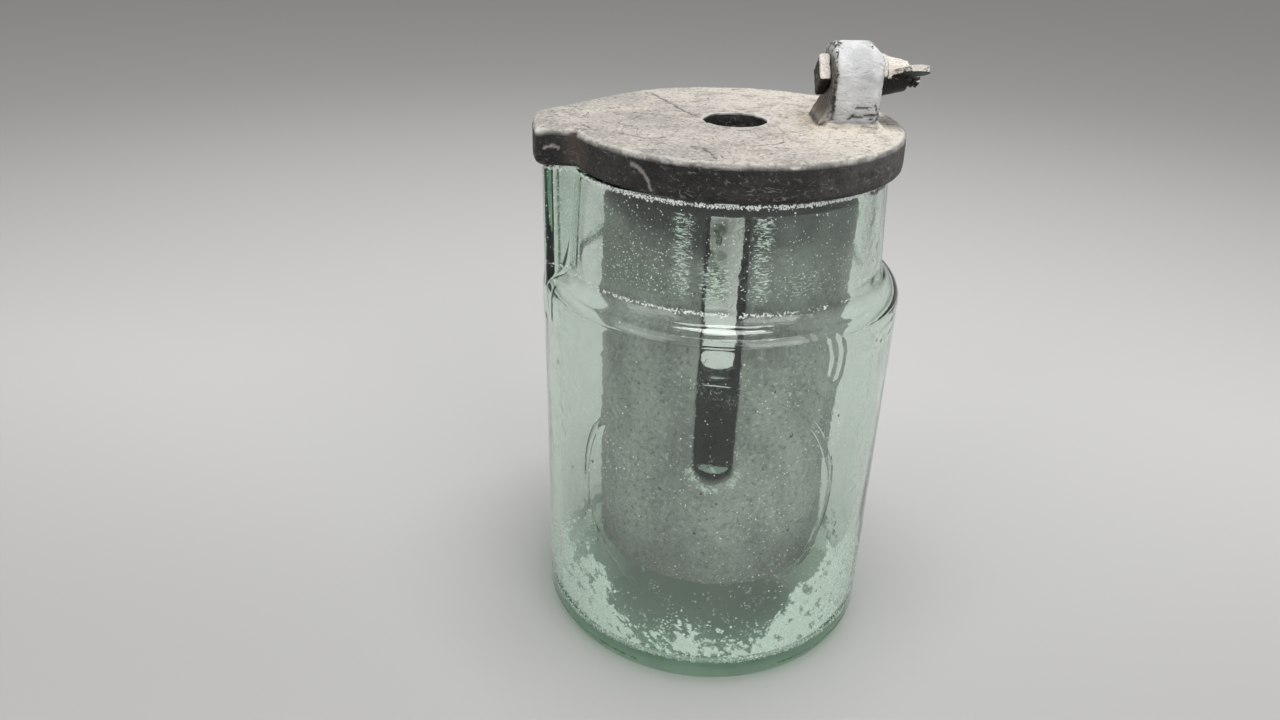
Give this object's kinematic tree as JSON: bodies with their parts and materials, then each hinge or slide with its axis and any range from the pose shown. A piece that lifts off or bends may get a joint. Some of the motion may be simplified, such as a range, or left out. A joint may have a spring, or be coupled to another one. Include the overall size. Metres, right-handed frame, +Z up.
{
  "type": "wet cell battery",
  "caption": "Wet cell: necked glass jar with a pouring lip, carbon cover with a centre hole and clamp terminal, and a slotted carbon cylinder hanging from the cover.",
  "frame": {"origin": "centre of the jar's flat base, on the jar's own axis", "axes": "+Z up along the jar's axis, +X towards the side of the terminal, -X towards the pouring lip, -Y towards the viewer of the picture"},
  "size_m": [0.112, 0.11, 0.1896],
  "materials": {
    "jar_glass": "pale green pressed glass, clear, with seeds and a white deposit",
    "cover_carbon": "dusty moulded carbon, worn black on its sides",
    "cylinder_carbon": "matt grey carbon with white salts along its slots",
    "terminal_metal": "dull aged brass, dusty above and black below"
  },
  "bodies": {
    "jar": {"glass_jar": "jar_glass"},
    "cover": {"carbon_cover": "cover_carbon", "carbon_cylinder": "cylinder_carbon", "terminal_bolt": "terminal_metal"},
    "washer": {"clamp_washer": "terminal_metal"},
    "nut": {"wing_nut": "terminal_metal"}
  },
  "joints": [
    {"name": "cover_lift", "type": "slide", "parent": "jar", "child": "cover", "axis": [0, 0, 1], "range_m": [0, 0.15]},
    {"name": "washer_travel", "type": "slide", "parent": "cover", "child": "washer", "axis": [0.9945, 0.1045, 0], "range_m": [0, 0.00255]},
    {"name": "nut_turn", "type": "hinge", "parent": "washer", "child": "nut", "pos_m": [0.04262, 0.00431, 0.1802], "axis": [0.9945, 0.1045, 0], "range_deg": [0, 720]}
  ],
  "couplings": [
    {"joint": "washer_travel", "follows": "nut_turn", "m_per_rad": 0.00020213}
  ]
}
